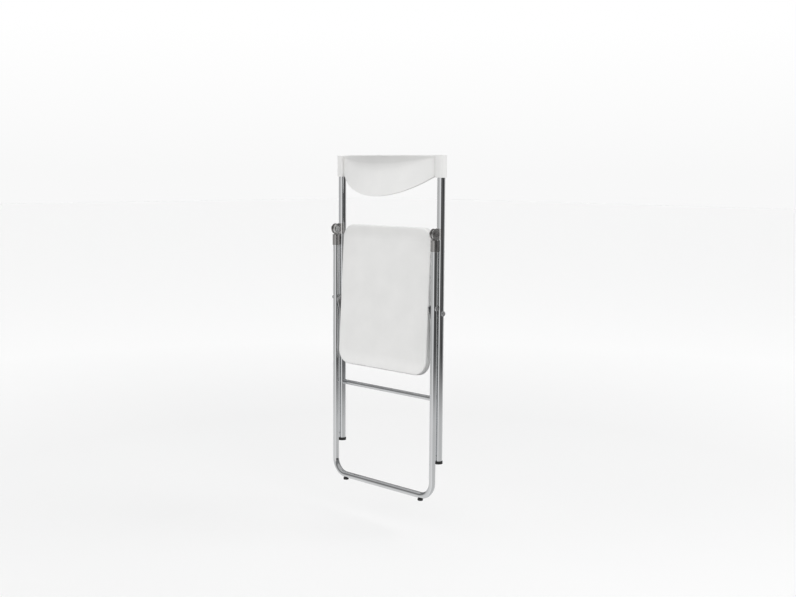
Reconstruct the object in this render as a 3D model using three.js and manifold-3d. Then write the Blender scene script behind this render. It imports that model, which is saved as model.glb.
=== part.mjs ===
// A folding chair that nests flat and hangs by its backrest, drawn folded and hanging.
//
// Two chromed uprights carry a moulded backrest at the top and end in the front feet. A bent
// rear leg frame swings on two hinges behind the uprights. The seat turns on bolts through the
// uprights, and a short link on each side ties it to the rear legs.
//
// Millimetres. +Z is up, +Y is the way a sitter faces and +X is the sitter's right. The origin
// lies midway between the uprights, level with the undersides of the backrest's sleeves, where
// the chair hangs. Drops are measured downwards from there, or from the hinge where said.

import * as THREE from 'three';
import { mergeVertices } from 'three/addons/utils/BufferGeometryUtils.js';
import Module from 'manifold-3d';

const wasm = await Module();
wasm.setup();

// Sizes that every piece shares

const GAP = 0.3; // air between two pieces that touch
const OVERRUN = 2; // how far a cutting tool runs past the piece that it cuts
const ROUND = 24; // sides of a round piece
const SMALL_ROUND = 16; // sides of a bolt, pin or screw
const BEND_STEPS = 8; // steps of a quarter bend
const HEXAGON = 6; // sides of a nut

// Driving dimensions

const UPRIGHT = { radius: 11, wall: 1.5 };

const SIDE_ROOM = 10.5; // between the seat and each upright, for the spacer and the link

const HINGE = { drop: 154, setback: 24.5, sideGap: 0.4 };

const TONGUE = { radius: 11.8, width: 4.6 }; // the disc on top of each rear leg

const CHEEK = { radius: 15.3, width: 3.2, recessRadius: 11.5, recessDepth: 1.2 };

const FRONT_LEG = { length: 645 }; // from the hinge to the sole of the foot

const REAR_LEG = { length: 756, radius: 9, wall: 1.5, bendRadius: 45, topDrop: 22 };

const SLEEVE = { width: 27, depth: 25, height: 62, cornerRadius: 4, topWall: 4 };

const SLEEVE_CORNER_STEPS = 5;

const PANEL = { rearStart: 5, bulge: 58, thickness: 5.5, sag: 60.5, rise: 6.8, sleeveBite: 1.1 };

const PANEL_LIP = { height: 2.5, ledge: 1.5, step: 1 }; // the thin rim along the top edge

const PANEL_HOLLOW = { lean: 19, leanDepth: 6.3, ease: 20, easeDepth: 2.7 }; // under the rim, in the middle

const HOLLOW_FRONT_SHARE = 0.85; // how much of the hollow the front face follows
const HOLLOW_END_SHARE = 0.2; // how tall it stays at the sleeves
const EASED_SHARE = 0.75; // how much of the easing is done halfway down it
const RETURN_POWER = 1.4; // how softly the face comes back to its lower edge

const PANEL_COLUMNS = 28;
const PANEL_LOWER_ROWS = 4;

const BRACKET = { wall: 1.9, height: 31, webHalfHeight: 14, frontLimit: 4.5 };

const SOCKET = { radius: 11, top: 17, bottom: 48, neckHalfDepth: 8 };

const HINGE_BOLT = { radius: 3.5, headRadius: 8.5, headThickness: 2.2, capRadius: 8.5, capThickness: 3 };

const HINGE_BOLT_END = { engagement: 1.8 };

const BRACE = { radius: 7, wall: 1.2, drop: 463.5 }; // drop from the hinge

const FOOT = { radius: 12.2, height: 8, stemLength: 26 };

const FOOT_RIVET = { radius: 1.8, headRadius: 3, headThickness: 1.2, height: 22, reach: 5 };

const GLIDE = { radius: 8, height: 6, stemRadius: 3, stemLength: 5, inset: 45 };

const SEAT = {
  width: 357,
  length: 414,
  cornerRadius: 42,
  skirt: 20,
  ceiling: 4,
  wall: 3.5,
  edgeRound: 3.5,
  dish: 4,
  rearSetback: 22, // how much further back the folded seat's rear edge lies than its front edge
  pivotDepth: 26.5, // from the sitting surface to the bolts that the seat turns on
  pivotPlace: 235, // from the front edge to those bolts, along the seat
};

const SEAT_CORNER_STEPS = 8;
const SEAT_ROUND_STEPS = 3;

// rings of the dish from the middle out: shares of the corner radius, and of the dish's depth
const DISH_SHARES = [
  [0.72, 0.9],
  [0.45, 0.6],
  [0.2, 0.2],
];

const SEAT_PIVOT = { drop: 220, boltRadius: 4, headRadius: 7, headThickness: 3 };

const SEAT_SPACER = { radius: 6 };

const SEAT_NUT = { radius: 7, thickness: 5, threadEnd: 1.5 };

const REAR_PIN = { belowBolt: 91.25, radius: 4 };

const RAIL = { thickness: 3, inset: 9, frontStart: 50, rearInset: 42, shallow: 14, earRadius: 9, rise: 44 };

const EAR_STEPS = 6;

const CROSS_BAR = { depth: 6, width: 22, frontPlace: 86, rearInset: 64 };

const SEAT_SCREW = { radius: 1.9, headRadius: 4, headThickness: 2, bite: 2.4, inset: 34 };

const LINK = { thickness: 3, halfWidth: 8, tubeGap: 2.8 };

const LEG_RIVET = { drop: 205, radius: 3.5, headRadius: 6, headThickness: 2.2, washerRadius: 6.5 };

const BACK_SCREW = { radius: 1.8, headRadius: 3.6, headThickness: 1.8, height: 20, reach: 4 };

// Places worked out from the dimensions

const halfSpacing = SEAT.width / 2 + SIDE_ROOM + UPRIGHT.radius;
const hingeLevel = -HINGE.drop;
const soleLevel = hingeLevel - FRONT_LEG.length;
const rearSoleLevel = hingeLevel - REAR_LEG.length;
const rearBarLevel = rearSoleLevel + GLIDE.height + GAP + REAR_LEG.radius;
const rearPlane = -HINGE.setback;
const seatPivotLevel = hingeLevel - SEAT_PIVOT.drop;
const rearPinLevel = seatPivotLevel - REAR_PIN.belowBolt;
const legRivetLevel = hingeLevel - LEG_RIVET.drop;
const uprightInner = halfSpacing - UPRIGHT.radius;
const legInner = halfSpacing - REAR_LEG.radius;
const tongueHalf = TONGUE.width / 2;
const cheekInner = tongueHalf + HINGE.sideGap;
const cheekOuter = cheekInner + CHEEK.width;
const cheekSeat = cheekOuter - CHEEK.recessDepth;
const linkOuter = legInner - LINK.tubeGap;
const linkInner = linkOuter - LINK.thickness;
const rivetInnerEnd = linkInner - GAP - LEG_RIVET.headThickness;
const railOuter = SEAT.width / 2 - RAIL.inset;
const railInner = railOuter - RAIL.thickness;
const railRearEnd = SEAT.length - RAIL.rearInset;
const rearBarPlace = SEAT.length - CROSS_BAR.rearInset;
const seatTilt = Math.atan2(SEAT.rearSetback, SEAT.length);
const seatFrontDepth = SEAT.pivotPlace * Math.sin(seatTilt) - SEAT.pivotDepth * Math.cos(seatTilt);
const seatFrontRise = SEAT.pivotPlace * Math.cos(seatTilt) + SEAT.pivotDepth * Math.sin(seatTilt);
const seatFrontLevel = seatPivotLevel + seatFrontRise;

// Materials

const chrome = new THREE.MeshStandardMaterial({ color: 0xc9cdd0, roughness: 0.08, metalness: 1 });
const whitePlastic = new THREE.MeshStandardMaterial({ color: 0xe9e8e6, roughness: 0.35, metalness: 0 });
const greyPlastic = new THREE.MeshStandardMaterial({ color: 0x8f8f91, roughness: 0.4, metalness: 0.1 });
const blackRubber = new THREE.MeshStandardMaterial({ color: 0x1b1b1c, roughness: 0.8, metalness: 0 });
const zincSteel = new THREE.MeshStandardMaterial({ color: 0xb4b6b8, roughness: 0.3, metalness: 1 });
const nylon = new THREE.MeshStandardMaterial({ color: 0x3a3a3c, roughness: 0.6, metalness: 0 });

// Tools for solids

/** Turns a closed three.js geometry into a solid that can be joined and cut. */
function solid(geometry) {
  const bare = geometry.clone();
  bare.deleteAttribute('normal');
  bare.deleteAttribute('uv');
  const merged = mergeVertices(bare);
  return new wasm.Manifold(
    new wasm.Mesh({
      numProp: 3,
      vertProperties: new Float32Array(merged.attributes.position.array),
      triVerts: new Uint32Array(merged.index.array),
    }),
  );
}

/** Turns a solid back into a three.js geometry. */
function geometryOf(body) {
  const mesh = body.getMesh();
  const geometry = new THREE.BufferGeometry();
  geometry.setAttribute('position', new THREE.BufferAttribute(new Float32Array(mesh.vertProperties), 3));
  geometry.setIndex(new THREE.BufferAttribute(new Uint32Array(mesh.triVerts), 1));
  geometry.computeVertexNormals();
  return geometry;
}

/** Joins several solids into one. */
function joined(...bodies) {
  return bodies.reduce((whole, body) => whole.add(body));
}

/** Cuts several solids out of one. */
function cut(body, ...tools) {
  return tools.reduce((rest, tool) => rest.subtract(tool), body);
}

/** A solid cylinder along X between two places, seen from the front at y and z. */
function rodAlongX(radius, fromX, toX, y, z, sides = SMALL_ROUND) {
  const geometry = new THREE.CylinderGeometry(radius, radius, Math.abs(toX - fromX), sides);
  geometry.rotateZ(Math.PI / 2);
  geometry.translate((fromX + toX) / 2, y, z);
  return solid(geometry);
}

/** A solid cylinder along Y. */
function rodAlongY(radius, fromY, toY, x, z, sides = SMALL_ROUND) {
  const geometry = new THREE.CylinderGeometry(radius, radius, Math.abs(toY - fromY), sides);
  geometry.translate(x, (fromY + toY) / 2, z);
  return solid(geometry);
}

/** A solid cylinder along Z. */
function rodAlongZ(radius, fromZ, toZ, x, y, sides = ROUND) {
  const geometry = new THREE.CylinderGeometry(radius, radius, Math.abs(toZ - fromZ), sides);
  geometry.rotateX(Math.PI / 2);
  geometry.translate(x, y, (fromZ + toZ) / 2);
  return solid(geometry);
}

/** A box between two corners. */
function block(low, high) {
  const geometry = new THREE.BoxGeometry(high[0] - low[0], high[1] - low[1], high[2] - low[2]);
  geometry.translate((low[0] + high[0]) / 2, (low[1] + high[1]) / 2, (low[2] + high[2]) / 2);
  return solid(geometry);
}

/** A straight round tube along Z, open at both ends. */
function straightTube(radius, wall, fromZ, toZ, x, y) {
  const bore = rodAlongZ(radius - wall, fromZ - OVERRUN, toZ + OVERRUN, x, y);
  return cut(rodAlongZ(radius, fromZ, toZ, x, y), bore);
}

/** A turned piece: its outline is given as pairs of radius and height, from axis to axis. */
function turned(outline, sides = ROUND) {
  const points = outline.map(([radius, height]) => new THREE.Vector2(radius, height));
  const geometry = new THREE.LatheGeometry(points, sides);
  geometry.rotateX(Math.PI / 2);
  return solid(geometry);
}

/** A rectangle with round corners, centred on the origin. */
function roundedRectangle(width, height, radius) {
  const x = width / 2;
  const y = height / 2;
  const shape = new THREE.Shape();
  shape.moveTo(-x + radius, -y);
  shape.lineTo(x - radius, -y);
  shape.absarc(x - radius, -y + radius, radius, -Math.PI / 2, 0, false);
  shape.lineTo(x, y - radius);
  shape.absarc(x - radius, y - radius, radius, 0, Math.PI / 2, false);
  shape.lineTo(-x + radius, y);
  shape.absarc(-x + radius, y - radius, radius, Math.PI / 2, Math.PI, false);
  shape.lineTo(-x, -y + radius);
  shape.absarc(-x + radius, -y + radius, radius, Math.PI, Math.PI * 1.5, false);
  return shape;
}

const model = new THREE.Group();
const seatGroup = new THREE.Group();
seatGroup.position.set(0, seatFrontDepth, seatFrontLevel);
seatGroup.rotation.x = -seatTilt;
model.add(seatGroup);

/** Adds a finished piece to a group under its name. */
function place(group, name, body, material) {
  const mesh = new THREE.Mesh(geometryOf(body), material);
  mesh.name = name;
  group.add(mesh);
}

/** Runs a function for the left side and for the right side. */
function onBothSides(make) {
  make(-1, 'left');
  make(1, 'right');
}

// Backrest

/**
 * The panel's section at a place across it, from the top edge down: each pair is a drop below
 * the top edge and the depth of the hollow there.
 */
function panelSection(share, height) {
  const crown = 1 - share * share;
  const run = Math.max(crown, HOLLOW_END_SHARE);
  const start = PANEL_LIP.height + PANEL_LIP.ledge;
  const leanEnd = start + PANEL_HOLLOW.lean * run;
  const easeEnd = leanEnd + PANEL_HOLLOW.ease * run;
  const step = PANEL_LIP.step * crown;
  const leanDepth = step + PANEL_HOLLOW.leanDepth * crown;
  const easeDepth = PANEL_HOLLOW.easeDepth * crown;
  const deepest = leanDepth + easeDepth;
  const section = [
    [0, 0],
    [PANEL_LIP.height, 0],
    [start, step],
    [leanEnd, leanDepth],
    [(leanEnd + easeEnd) / 2, leanDepth + easeDepth * EASED_SHARE],
    [easeEnd, deepest],
  ];
  for (let row = 1; row <= PANEL_LOWER_ROWS; row += 1) {
    const part = row / PANEL_LOWER_ROWS;
    section.push([easeEnd + (height - easeEnd) * part, deepest * (1 - part ** RETURN_POWER)]);
  }
  return section;
}

/** The curved panel between the sleeves: level on top, a deep arc below, bowed to the rear. */
function backPanel() {
  const sleeveInner = halfSpacing - SLEEVE.width / 2;
  const half = sleeveInner + PANEL.sleeveBite;
  const lowerRadius = (half * half + PANEL.sag * PANEL.sag) / (2 * PANEL.sag);
  const planRadius = (half * half + PANEL.bulge * PANEL.bulge) / (2 * PANEL.bulge);
  const positions = [];
  const rows = panelSection(0, SLEEVE.height).length;
  for (let column = 0; column <= PANEL_COLUMNS; column += 1) {
    const share = (2 * column) / PANEL_COLUMNS - 1;
    const x = share * half;
    const sag = Math.sqrt(lowerRadius * lowerRadius - x * x) - (lowerRadius - PANEL.sag);
    const bow = Math.sqrt(planRadius * planRadius - x * x) - (planRadius - PANEL.bulge);
    const rear = -PANEL.rearStart - bow;
    const section = panelSection(share, SLEEVE.height - PANEL.rise + sag);
    for (const [drop, depth] of section) positions.push(x, rear + depth, SLEEVE.height - drop);
    for (const [drop, depth] of section) {
      const front = rear + PANEL.thickness + depth * HOLLOW_FRONT_SHARE;
      positions.push(x, front, SLEEVE.height - drop);
    }
  }
  const index = [];
  const quad = (a, b, c, d) => index.push(a, b, c, a, c, d);
  const stride = 2 * rows;
  for (let column = 0; column < PANEL_COLUMNS; column += 1) {
    const here = column * stride;
    const next = here + stride;
    for (let row = 0; row < rows - 1; row += 1) {
      quad(here + row, here + row + 1, next + row + 1, next + row);
      quad(here + rows + row, next + rows + row, next + rows + row + 1, here + rows + row + 1);
    }
    quad(here, next, next + rows, here + rows);
    quad(here + rows - 1, here + stride - 1, next + stride - 1, next + rows - 1);
  }
  const last = PANEL_COLUMNS * stride;
  for (let row = 0; row < rows - 1; row += 1) {
    quad(row, rows + row, rows + row + 1, row + 1);
    quad(last + row, last + row + 1, last + rows + row + 1, last + rows + row);
  }
  const geometry = new THREE.BufferGeometry();
  geometry.setAttribute('position', new THREE.Float32BufferAttribute(positions, 3));
  geometry.setIndex(index);
  return solid(geometry);
}

/** The moulded backrest: two closed sleeves and the panel between them. */
function backrest() {
  let shell = backPanel();
  onBothSides((side) => {
    const outline = roundedRectangle(SLEEVE.width, SLEEVE.depth, SLEEVE.cornerRadius);
    const sleeve = new THREE.ExtrudeGeometry(outline, {
      depth: SLEEVE.height,
      bevelEnabled: false,
      curveSegments: SLEEVE_CORNER_STEPS,
    });
    sleeve.translate(side * halfSpacing, 0, 0);
    shell = shell.add(solid(sleeve));
  });
  onBothSides((side) => {
    const bore = UPRIGHT.radius + GAP;
    const x = side * halfSpacing;
    const screwHole = BACK_SCREW.radius + GAP;
    const faceY = SLEEVE.depth / 2;
    shell = cut(
      shell,
      rodAlongZ(bore, -OVERRUN, SLEEVE.height - SLEEVE.topWall, x, 0),
      rodAlongY(screwHole, 0, faceY + OVERRUN, x, BACK_SCREW.height),
    );
  });
  place(model, 'back_shell', shell, whitePlastic);
}

/** A small screw that holds each sleeve on its upright, from the front. */
function backScrews() {
  onBothSides((side, label) => {
    const x = side * halfSpacing;
    const faceY = SLEEVE.depth / 2 + GAP;
    const headEnd = faceY + BACK_SCREW.headThickness;
    const tip = UPRIGHT.radius - BACK_SCREW.reach;
    const screw = joined(
      rodAlongY(BACK_SCREW.radius, tip, faceY + OVERRUN / 2, x, BACK_SCREW.height),
      rodAlongY(BACK_SCREW.headRadius, faceY, headEnd, x, BACK_SCREW.height),
    );
    place(model, `back_screw_${label}`, screw, zincSteel);
  });
}

// Uprights and front feet

/** The two straight tubes from the backrest to the front feet, with their drilled holes. */
function uprights() {
  onBothSides((side, label) => {
    const x = side * halfSpacing;
    const topEnd = SLEEVE.height - SLEEVE.topWall - GAP;
    const lowEnd = soleLevel + FOOT.height + GAP;
    const across = UPRIGHT.radius + OVERRUN;
    const tube = cut(
      straightTube(UPRIGHT.radius, UPRIGHT.wall, lowEnd, topEnd, x, 0),
      rodAlongX(SEAT_PIVOT.boltRadius + GAP, x - across, x + across, 0, seatPivotLevel),
      rodAlongY(BACK_SCREW.radius + GAP, 0, across, x, BACK_SCREW.height),
      rodAlongY(FOOT_RIVET.radius + GAP, -across, 0, x, soleLevel + FOOT_RIVET.height),
    );
    place(model, `upright_${label}`, tube, chrome);
  });
}

/** The round bar that ties the uprights together below the seat, coped to fit the tubes. */
function frontBrace() {
  const level = hingeLevel - BRACE.drop;
  const reach = halfSpacing;
  const bar = cut(
    rodAlongX(BRACE.radius, -reach, reach, 0, level, ROUND),
    rodAlongX(BRACE.radius - BRACE.wall, -reach - OVERRUN, reach + OVERRUN, 0, level, ROUND),
    rodAlongZ(UPRIGHT.radius + GAP, level - reach, level + reach, -reach, 0),
    rodAlongZ(UPRIGHT.radius + GAP, level - reach, level + reach, reach, 0),
  );
  const across = UPRIGHT.radius;
  const kept = block([-reach, -across, level - across], [reach, across, level + across]);
  const middle = bar.intersect(kept).decompose().sort((a, b) => b.volume() - a.volume())[0];
  place(model, 'front_brace', middle, chrome);
}

/** The soft tips in the lower ends of the uprights, and the rivets that keep them in. */
function frontFeet() {
  const stemRadius = UPRIGHT.radius - UPRIGHT.wall - GAP;
  onBothSides((side, label) => {
    const x = side * halfSpacing;
    const collar = rodAlongZ(FOOT.radius, soleLevel, soleLevel + FOOT.height, x, 0);
    const stemTop = soleLevel + FOOT.height + FOOT.stemLength;
    const stem = rodAlongZ(stemRadius, soleLevel + FOOT.height / 2, stemTop, x, 0);
    const rivetLevel = soleLevel + FOOT_RIVET.height;
    const rivetEnd = -UPRIGHT.radius + FOOT_RIVET.reach;
    const hole = rodAlongY(FOOT_RIVET.radius + GAP, -UPRIGHT.radius, rivetEnd + GAP, x, rivetLevel);
    place(model, `foot_${label}`, cut(joined(collar, stem), hole), blackRubber);
    const skin = -UPRIGHT.radius - GAP;
    const headFace = skin - FOOT_RIVET.headThickness;
    const rivet = joined(
      rodAlongY(FOOT_RIVET.radius, (skin + headFace) / 2, rivetEnd, x, rivetLevel),
      rodAlongY(FOOT_RIVET.headRadius, headFace, skin, x, rivetLevel),
    );
    place(model, `foot_rivet_${label}`, rivet, zincSteel);
  });
}

// Hinges

/** The saddle behind each upright, with two cheeks that hold the tongue of the rear leg. */
function hingeBrackets() {
  onBothSides((side, label) => {
    const x = side * halfSpacing;
    const halfHeight = BRACKET.height / 2;
    const low = hingeLevel - halfHeight;
    const high = hingeLevel + halfHeight;
    const outer = UPRIGHT.radius + GAP + BRACKET.wall;
    let bracket = rodAlongZ(outer, low, high, x, 0);
    const recesses = [];
    for (const cheek of [-1, 1]) {
      const near = x + cheek * cheekInner;
      const far = x + cheek * cheekOuter;
      const web = BRACKET.webHalfHeight;
      bracket = joined(
        bracket,
        rodAlongX(CHEEK.radius, near, far, rearPlane, hingeLevel, ROUND),
        block([Math.min(near, far), rearPlane, hingeLevel - web], [Math.max(near, far), 0, hingeLevel + web]),
      );
      const floor = x + cheek * cheekSeat;
      const clear = far + cheek * OVERRUN;
      recesses.push(rodAlongX(CHEEK.recessRadius, floor, clear, rearPlane, hingeLevel, ROUND));
    }
    const front = block(
      [x - outer - OVERRUN, -BRACKET.frontLimit, low - OVERRUN],
      [x + outer + OVERRUN, outer + OVERRUN, high + OVERRUN],
    );
    bracket = cut(
      bracket,
      rodAlongZ(UPRIGHT.radius + GAP, low - OVERRUN, high + OVERRUN, x, 0),
      rodAlongX(TONGUE.radius + HINGE.sideGap, x - cheekInner, x + cheekInner, rearPlane, hingeLevel, ROUND),
      rodAlongX(HINGE_BOLT.radius + GAP, x - halfSpacing / 2, x + halfSpacing / 2, rearPlane, hingeLevel),
      front,
      ...recesses,
    );
    place(model, `hinge_bracket_${label}`, bracket, greyPlastic);
  });
}

/** The bolt through each hinge and the cap nut on its outer end. */
function hingeBolts() {
  onBothSides((side, label) => {
    const centre = side * halfSpacing;
    const innerFace = centre - side * (cheekSeat + GAP);
    const outerFace = centre + side * (cheekSeat + GAP);
    const shankEnd = outerFace + side * HINGE_BOLT_END.engagement;
    const headEnd = innerFace - side * HINGE_BOLT.headThickness;
    const shankStart = (innerFace + headEnd) / 2;
    const bolt = joined(
      rodAlongX(HINGE_BOLT.radius, shankStart, shankEnd, rearPlane, hingeLevel),
      rodAlongX(HINGE_BOLT.headRadius, headEnd, innerFace, rearPlane, hingeLevel, ROUND),
    );
    place(model, `hinge_bolt_${label}`, bolt, zincSteel);
    const capEnd = outerFace + side * HINGE_BOLT.capThickness;
    const boreStart = outerFace - side * OVERRUN;
    const boreEnd = shankEnd + side * GAP;
    const cap = cut(
      rodAlongX(HINGE_BOLT.capRadius, outerFace, capEnd, rearPlane, hingeLevel, ROUND),
      rodAlongX(HINGE_BOLT.radius + GAP, boreStart, boreEnd, rearPlane, hingeLevel),
    );
    place(model, `hinge_cap_${label}`, cap, greyPlastic);
  });
}

/** The moulding on top of each rear leg: a tongue between the cheeks, and a socket for the tube. */
function hingeKnuckles() {
  onBothSides((side, label) => {
    const x = side * halfSpacing;
    const tongue = rodAlongX(TONGUE.radius, x - tongueHalf, x + tongueHalf, rearPlane, hingeLevel, ROUND);
    const socketTop = hingeLevel - SOCKET.top;
    const socketLow = hingeLevel - SOCKET.bottom;
    const socket = rodAlongZ(SOCKET.radius, socketLow, socketTop, x, rearPlane);
    const neckDepth = SOCKET.neckHalfDepth;
    const neck = block(
      [x - tongueHalf, rearPlane - neckDepth, socketTop - GAP],
      [x + tongueHalf, rearPlane + neckDepth, hingeLevel],
    );
    const tubeTop = hingeLevel - REAR_LEG.topDrop;
    const knuckle = cut(
      joined(tongue, neck, socket),
      rodAlongX(HINGE_BOLT.radius + GAP, x - halfSpacing / 2, x + halfSpacing / 2, rearPlane, hingeLevel),
      rodAlongZ(REAR_LEG.radius + GAP, socketLow - OVERRUN, tubeTop + GAP, x, rearPlane),
    );
    place(model, `hinge_knuckle_${label}`, knuckle, greyPlastic);
  });
}

// Rear legs

/** A path that puts one ring of an extruded tube at each of its stations. */
class StationPath extends THREE.Curve {
  constructor(stations) {
    super();
    this.stations = stations;
  }

  getUtoTmapping(u) {
    return u;
  }

  getPoint(t, target = new THREE.Vector3()) {
    const last = this.stations.length - 1;
    const whole = Math.min(Math.round(t * last), last);
    return target.copy(this.stations[whole]);
  }

  getTangent(t, target = new THREE.Vector3()) {
    const last = this.stations.length - 1;
    const whole = Math.min(Math.round(t * last), last);
    const before = this.stations[Math.max(whole - 1, 0)];
    const after = this.stations[Math.min(whole + 1, last)];
    const here = this.stations[whole];
    const arriving = whole === 0 ? new THREE.Vector3() : here.clone().sub(before).normalize();
    const leaving = whole === last ? new THREE.Vector3() : after.clone().sub(here).normalize();
    return target.copy(arriving).add(leaving).normalize();
  }
}

/** The stations of the rear leg tube: down one side, round two bends and up the other. */
function rearLegStations() {
  const bend = REAR_LEG.bendRadius;
  const top = hingeLevel - REAR_LEG.topDrop;
  const stations = [new THREE.Vector3(-halfSpacing, rearPlane, top)];
  const addBend = (centreX, startAngle) => {
    for (let step = 0; step <= BEND_STEPS; step += 1) {
      const angle = startAngle + ((Math.PI / 2) * step) / BEND_STEPS;
      const x = centreX + bend * Math.cos(angle);
      const z = rearBarLevel + bend + bend * Math.sin(angle);
      stations.push(new THREE.Vector3(x, rearPlane, z));
    }
  };
  addBend(-halfSpacing + bend, Math.PI);
  addBend(halfSpacing - bend, Math.PI * 1.5);
  stations.push(new THREE.Vector3(halfSpacing, rearPlane, top));
  return stations;
}

/** A bent tube of one radius along a list of stations. */
function bentRod(radius, stations) {
  const section = new THREE.Shape();
  section.absarc(0, 0, radius, 0, Math.PI * 2, false);
  const geometry = new THREE.ExtrudeGeometry(section, {
    steps: stations.length - 1,
    extrudePath: new StationPath(stations),
    curveSegments: ROUND / 2,
    bevelEnabled: false,
  });
  return solid(geometry);
}

/** The rear leg frame, one bent tube, drilled for the link rivets and the glides. */
function rearLegFrame() {
  const stations = rearLegStations();
  const boreStations = stations.map((station) => station.clone());
  boreStations[0].z += OVERRUN;
  boreStations[boreStations.length - 1].z += OVERRUN;
  const bore = bentRod(REAR_LEG.radius - REAR_LEG.wall, boreStations);
  let frame = bentRod(REAR_LEG.radius, stations).subtract(bore);
  onBothSides((side) => {
    const x = side * halfSpacing;
    const across = REAR_LEG.radius + OVERRUN;
    const glideX = side * (halfSpacing - GLIDE.inset);
    frame = cut(
      frame,
      rodAlongX(LEG_RIVET.radius + GAP, x - across, x + across, rearPlane, legRivetLevel),
      rodAlongZ(GLIDE.stemRadius + GAP, rearBarLevel - across, rearBarLevel, glideX, rearPlane, SMALL_ROUND),
    );
  });
  place(model, 'rear_leg_frame', frame, chrome);
}

/** The two soft buttons under the rear bar. */
function rearGlides() {
  onBothSides((side, label) => {
    const x = side * (halfSpacing - GLIDE.inset);
    const top = rearSoleLevel + GLIDE.height;
    const stemStart = rearSoleLevel + GLIDE.height / 2;
    const stemEnd = top + GLIDE.stemLength;
    const glide = joined(
      rodAlongZ(GLIDE.radius, rearSoleLevel, top, x, rearPlane),
      rodAlongZ(GLIDE.stemRadius, stemStart, stemEnd, x, rearPlane, SMALL_ROUND),
    );
    place(model, `rear_glide_${label}`, glide, blackRubber);
  });
}

/** The rivet through each rear leg that carries a link on its inner end, and its washer. */
function legRivets() {
  onBothSides((side, label) => {
    const outerFace = side * (halfSpacing + REAR_LEG.radius + GAP);
    const outerEnd = outerFace + side * LEG_RIVET.headThickness;
    const innerEnd = side * rivetInnerEnd;
    const headFace = side * (linkInner - GAP);
    const shankEnd = (outerFace + outerEnd) / 2;
    const rivet = joined(
      rodAlongX(LEG_RIVET.radius, shankEnd, headFace, rearPlane, legRivetLevel),
      rodAlongX(LEG_RIVET.headRadius, outerFace, outerEnd, rearPlane, legRivetLevel, ROUND),
      rodAlongX(LEG_RIVET.headRadius, innerEnd, headFace, rearPlane, legRivetLevel, ROUND),
    );
    place(model, `leg_rivet_${label}`, rivet, zincSteel);
    const washerNear = side * (linkOuter + GAP);
    const washerFar = side * (legInner - GAP);
    const boreStart = washerNear - side * OVERRUN;
    const boreEnd = washerFar + side * OVERRUN;
    const washer = cut(
      rodAlongX(LEG_RIVET.washerRadius, washerNear, washerFar, rearPlane, legRivetLevel, ROUND),
      rodAlongX(LEG_RIVET.radius + GAP, boreStart, boreEnd, rearPlane, legRivetLevel),
    );
    place(model, `link_washer_${label}`, washer, nylon);
  });
}

// Links between the rear legs and the seat

/** A flat bar with round ends between the leg rivet and the seat's rear pin. */
function foldLinks() {
  const spanY = -rearPlane;
  const spanZ = rearPinLevel - legRivetLevel;
  const length = Math.hypot(spanY, spanZ);
  const lean = Math.atan2(spanY, -spanZ);
  onBothSides((side, label) => {
    const near = side * linkInner;
    const far = side * linkOuter;
    const bar = new THREE.BoxGeometry(LINK.thickness, LINK.halfWidth * 2, length);
    bar.rotateX(lean);
    bar.translate((near + far) / 2, rearPlane / 2, (legRivetLevel + rearPinLevel) / 2);
    const boreStart = near - side * OVERRUN;
    const boreEnd = far + side * OVERRUN;
    const link = cut(
      joined(
        solid(bar),
        rodAlongX(LINK.halfWidth, near, far, rearPlane, legRivetLevel, ROUND),
        rodAlongX(LINK.halfWidth, near, far, 0, rearPinLevel, ROUND),
      ),
      rodAlongX(LEG_RIVET.radius + GAP, boreStart, boreEnd, rearPlane, legRivetLevel),
      rodAlongX(REAR_PIN.radius + GAP, boreStart, boreEnd, 0, rearPinLevel),
    );
    place(model, `fold_link_${label}`, link, zincSteel);
  });
}

/** The short pin riveted in the lower end of each link, pointing at the seat rail. */
function linkPins() {
  onBothSides((side, label) => {
    const shellSide = SEAT.width / 2;
    const pinEnd = side * (shellSide + GAP * 2);
    const headFace = side * (linkInner - GAP);
    const pin = joined(
      rodAlongX(REAR_PIN.radius, headFace, side * linkOuter, 0, rearPinLevel),
      rodAlongX(REAR_PIN.radius + LINK.thickness / 2, pinEnd, headFace, 0, rearPinLevel),
    );
    place(model, `link_pin_${label}`, pin, zincSteel);
  });
}

// Seat bolts, which stay with the uprights

/** The bolt through each upright that the seat turns on, with its spacer and nut. */
function seatBolts() {
  onBothSides((side, label) => {
    const outerFace = side * (halfSpacing + UPRIGHT.radius + GAP);
    const outerEnd = outerFace + side * SEAT_PIVOT.headThickness;
    const nutOuter = side * (railInner - GAP);
    const nutInner = nutOuter - side * SEAT_NUT.thickness;
    const shankEnd = nutInner - side * SEAT_NUT.threadEnd;
    const bolt = joined(
      rodAlongX(SEAT_PIVOT.boltRadius, shankEnd, (outerFace + outerEnd) / 2, 0, seatPivotLevel),
      rodAlongX(SEAT_PIVOT.headRadius, outerFace, outerEnd, 0, seatPivotLevel, ROUND),
    );
    place(model, `seat_bolt_${label}`, bolt, zincSteel);
    const bore = SEAT_PIVOT.boltRadius + GAP;
    const nut = cut(
      rodAlongX(SEAT_NUT.radius, nutInner, nutOuter, 0, seatPivotLevel, HEXAGON),
      rodAlongX(bore, nutInner - side * OVERRUN, nutOuter + side * OVERRUN, 0, seatPivotLevel),
    );
    place(model, `seat_nut_${label}`, nut, zincSteel);
    const spacerNear = side * (railOuter + GAP);
    const spacerFar = side * (uprightInner - GAP);
    const spacer = cut(
      rodAlongX(SEAT_SPACER.radius, spacerNear, spacerFar, 0, seatPivotLevel, ROUND),
      rodAlongX(bore, spacerNear - side * OVERRUN, spacerFar + side * OVERRUN, 0, seatPivotLevel),
    );
    place(model, `seat_spacer_${label}`, spacer, nylon);
  });
}

// Seat, drawn in its own frame: z = 0 at the front edge and falling to the rear, y = 0 at the
// sitting surface and growing to the underside

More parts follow.
